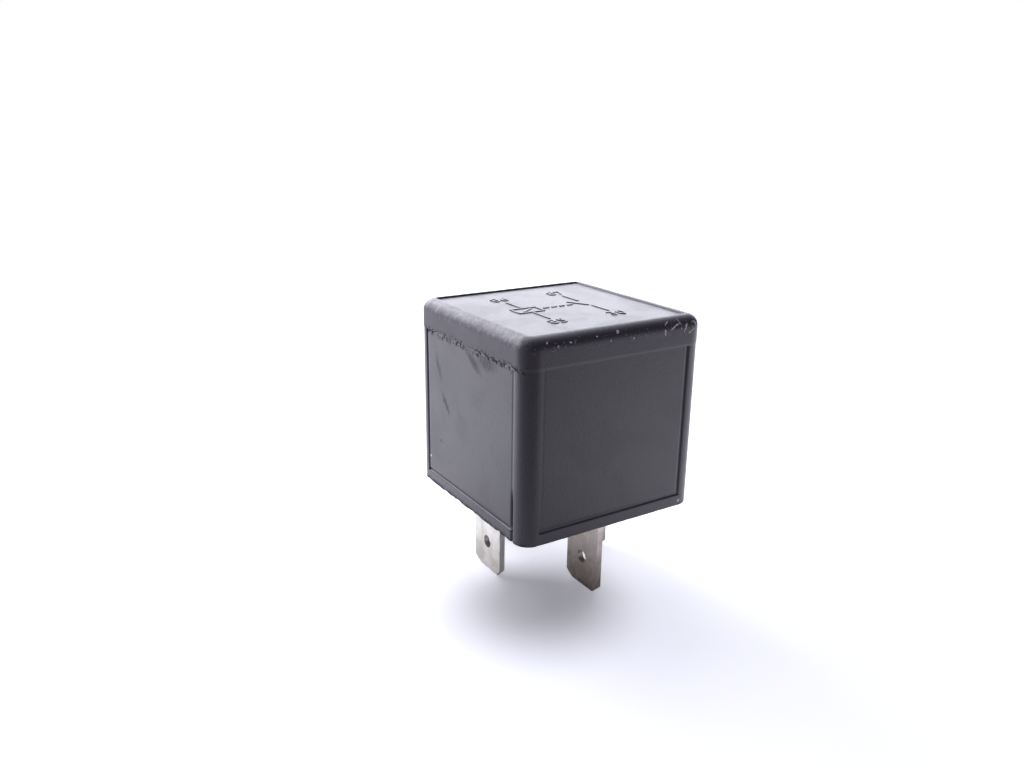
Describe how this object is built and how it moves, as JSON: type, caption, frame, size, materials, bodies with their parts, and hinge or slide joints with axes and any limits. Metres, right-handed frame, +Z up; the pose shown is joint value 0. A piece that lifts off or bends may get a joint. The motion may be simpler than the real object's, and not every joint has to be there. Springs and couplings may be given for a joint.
{
  "type": "automotive relay",
  "caption": "Square plug-in automotive relay with a moulded cover, flat plug-in blades, a coil and a hinged armature that closes a contact.",
  "frame": {"origin": "centre of the square cover in plan, at the level of the blades' tips", "axes": "+Z up, from the blades' tips towards the cover's top; +Y from the common blade's side towards the normally open blade's side; X along the two coil blades"},
  "size_m": [0.026, 0.026, 0.0358],
  "materials": {
    "cover_plastic": "moulded, fine matt grain, slightly scuffed",
    "base_plastic": "moulded",
    "tinned_brass": "tin-plated, slightly stained",
    "copper_alloy": "rolled spring copper",
    "soft_iron": "zinc-plated",
    "bobbin_plastic": "moulded nylon",
    "magnet_wire": "enamelled",
    "tape": "polyester film",
    "contact_silver": "silver alloy"
  },
  "bodies": {
    "housing": {"cover": "cover_plastic", "base": "base_plastic", "terminal_30": "tinned_brass", "terminal_85": "tinned_brass", "terminal_86": "tinned_brass", "terminal_87": "tinned_brass", "yoke": "soft_iron", "core": "soft_iron", "bobbin": "bobbin_plastic", "coil_winding": "magnet_wire", "coil_tape": "tape", "fixed_contact": "contact_silver", "rest_stop": "tinned_brass", "spring_rivet_left": "soft_iron", "spring_rivet_right": "soft_iron"},
    "armature": {"armature": "soft_iron", "contact_spring": "copper_alloy", "moving_contact": "contact_silver", "armature_rivet_left": "soft_iron", "armature_rivet_right": "soft_iron"}
  },
  "joints": [
    {"name": "armature_hinge", "type": "hinge", "parent": "housing", "child": "armature", "pos_m": [0, -0.0103, 0.0293], "axis": [-1, 0, 0], "range_deg": [0, 3.2], "stiffness_Nm_per_rad": 0.1, "springref_deg": -5.73, "deforming": ["contact_spring"]}
  ]
}
